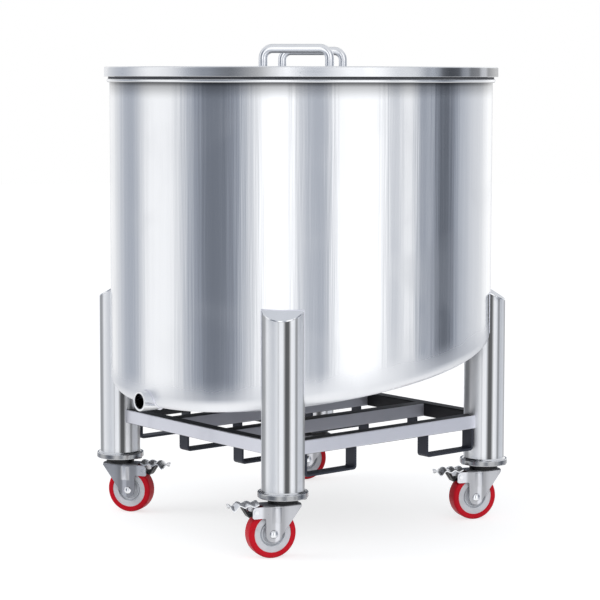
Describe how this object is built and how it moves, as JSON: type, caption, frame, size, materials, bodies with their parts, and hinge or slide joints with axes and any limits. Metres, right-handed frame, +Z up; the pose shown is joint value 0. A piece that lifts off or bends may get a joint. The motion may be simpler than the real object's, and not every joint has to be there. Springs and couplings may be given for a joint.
{
  "type": "mobile stainless storage tank",
  "caption": "Upright cylindrical stainless tank with sloped bottom, low outlet pipe and lift-off lid, on tubular legs and a beam frame with fork straps and braked swivel casters.",
  "frame": {"origin": "on the floor, below the axis of the tank's cylinder", "axes": "+Z up, -Y towards the outlet pipe at the low side of the bottom, +X to the right seen from the outlet"},
  "size_m": [0.864, 0.873, 1.0438],
  "materials": {
    "tank_steel": "satin to mirror polished stainless sheet",
    "rim_steel": "polished rolled edge",
    "lid_steel": "satin stainless sheet",
    "handle_steel": "polished round rod",
    "pipe_steel": "polished pipe",
    "leg_steel": "polished round tube",
    "frame_steel": "matt brushed stainless",
    "caster_steel": "pressed stainless sheet, smooth",
    "plate_black": "dark plate, half matt",
    "lever_black": "black, matt",
    "wheel_grey": "light grey moulded core",
    "tyre_red": "red cast tyre, half gloss",
    "seal_rubber": "dark seal, matt"
  },
  "bodies": {
    "tank": {"tank_shell": "tank_steel", "tank_bottom": "tank_steel", "tank_rim": "rim_steel", "lid_seal": "seal_rubber", "outlet_pipe": "pipe_steel", "leg_front_left": "leg_steel", "leg_front_right": "leg_steel", "leg_rear_right": "leg_steel", "leg_rear_left": "leg_steel", "leg_caps": "leg_steel", "leg_flanges": "leg_steel", "caster_plates": "plate_black", "frame_beam_front": "frame_steel", "frame_beam_rear": "frame_steel", "frame_beam_left": "frame_steel", "frame_beam_right": "frame_steel", "cross_beams": "frame_steel", "fork_straps_left": "frame_steel", "fork_straps_right": "frame_steel"},
    "lid_set": {"lid": "lid_steel", "lid_handles": "handle_steel"},
    "caster_front_left": {"caster_fork_front_left": "caster_steel", "caster_axle_front_left": "caster_steel"},
    "wheel_front_left": {"wheel_core_front_left": "wheel_grey", "tyre_front_left": "tyre_red"},
    "pedal_front_left": {"brake_pedal_front_left": "caster_steel", "brake_lever_front_left": "lever_black"},
    "caster_front_right": {"caster_fork_front_right": "caster_steel", "caster_axle_front_right": "caster_steel"},
    "wheel_front_right": {"wheel_core_front_right": "wheel_grey", "tyre_front_right": "tyre_red"},
    "pedal_front_right": {"brake_pedal_front_right": "caster_steel", "brake_lever_front_right": "lever_black"},
    "caster_rear_right": {"caster_fork_rear_right": "caster_steel", "caster_axle_rear_right": "caster_steel"},
    "wheel_rear_right": {"wheel_core_rear_right": "wheel_grey", "tyre_rear_right": "tyre_red"},
    "pedal_rear_right": {"brake_pedal_rear_right": "caster_steel", "brake_lever_rear_right": "lever_black"},
    "caster_rear_left": {"caster_fork_rear_left": "caster_steel", "caster_axle_rear_left": "caster_steel"},
    "wheel_rear_left": {"wheel_core_rear_left": "wheel_grey", "tyre_rear_left": "tyre_red"},
    "pedal_rear_left": {"brake_pedal_rear_left": "caster_steel", "brake_lever_rear_left": "lever_black"}
  },
  "joints": [
    {"name": "lid_lift", "type": "slide", "parent": "tank", "child": "lid_set", "axis": [0, 0, 1], "range_m": [0, 0.4]},
    {"name": "caster_swivel_front_left", "type": "hinge", "parent": "tank", "child": "caster_front_left", "pos_m": [-0.28815, -0.28815, 0.109], "axis": [0, 0, 1], "continuous": true},
    {"name": "wheel_spin_front_left", "type": "hinge", "parent": "caster_front_left", "child": "wheel_front_left", "pos_m": [-0.26483, -0.27452, 0.051], "axis": [-0.5045, 0.8634, 0], "continuous": true},
    {"name": "brake_press_front_left", "type": "hinge", "parent": "caster_front_left", "child": "pedal_front_left", "pos_m": [-0.23289, -0.25586, 0.098], "axis": [-0.5045, 0.8634, 0], "range_deg": [0, 18]},
    {"name": "caster_swivel_front_right", "type": "hinge", "parent": "tank", "child": "caster_front_right", "pos_m": [0.28815, -0.28815, 0.109], "axis": [0, 0, 1], "continuous": true},
    {"name": "wheel_spin_front_right", "type": "hinge", "parent": "caster_front_right", "child": "wheel_front_right", "pos_m": [0.27904, -0.31357, 0.051], "axis": [0.9415, -0.3371, 0], "continuous": true},
    {"name": "brake_press_front_right", "type": "hinge", "parent": "caster_front_right", "child": "pedal_front_right", "pos_m": [0.26657, -0.3484, 0.098], "axis": [0.9415, -0.3371, 0], "range_deg": [0, 18]},
    {"name": "caster_swivel_rear_right", "type": "hinge", "parent": "tank", "child": "caster_rear_right", "pos_m": [0.28815, 0.28815, 0.109], "axis": [0, 0, 1], "continuous": true},
    {"name": "wheel_spin_rear_right", "type": "hinge", "parent": "caster_rear_right", "child": "wheel_rear_right", "pos_m": [0.27904, 0.26273, 0.051], "axis": [0.9415, -0.3371, 0], "continuous": true},
    {"name": "brake_press_rear_right", "type": "hinge", "parent": "caster_rear_right", "child": "pedal_rear_right", "pos_m": [0.26657, 0.22789, 0.098], "axis": [0.9415, -0.3371, 0], "range_deg": [0, 18]},
    {"name": "caster_swivel_rear_left", "type": "hinge", "parent": "tank", "child": "caster_rear_left", "pos_m": [-0.28815, 0.28815, 0.109], "axis": [0, 0, 1], "continuous": true},
    {"name": "wheel_spin_rear_left", "type": "hinge", "parent": "caster_rear_left", "child": "wheel_rear_left", "pos_m": [-0.29725, 0.26273, 0.051], "axis": [0.9415, -0.3371, 0], "continuous": true},
    {"name": "brake_press_rear_left", "type": "hinge", "parent": "caster_rear_left", "child": "pedal_rear_left", "pos_m": [-0.30972, 0.22789, 0.098], "axis": [0.9415, -0.3371, 0], "range_deg": [0, 18]}
  ]
}
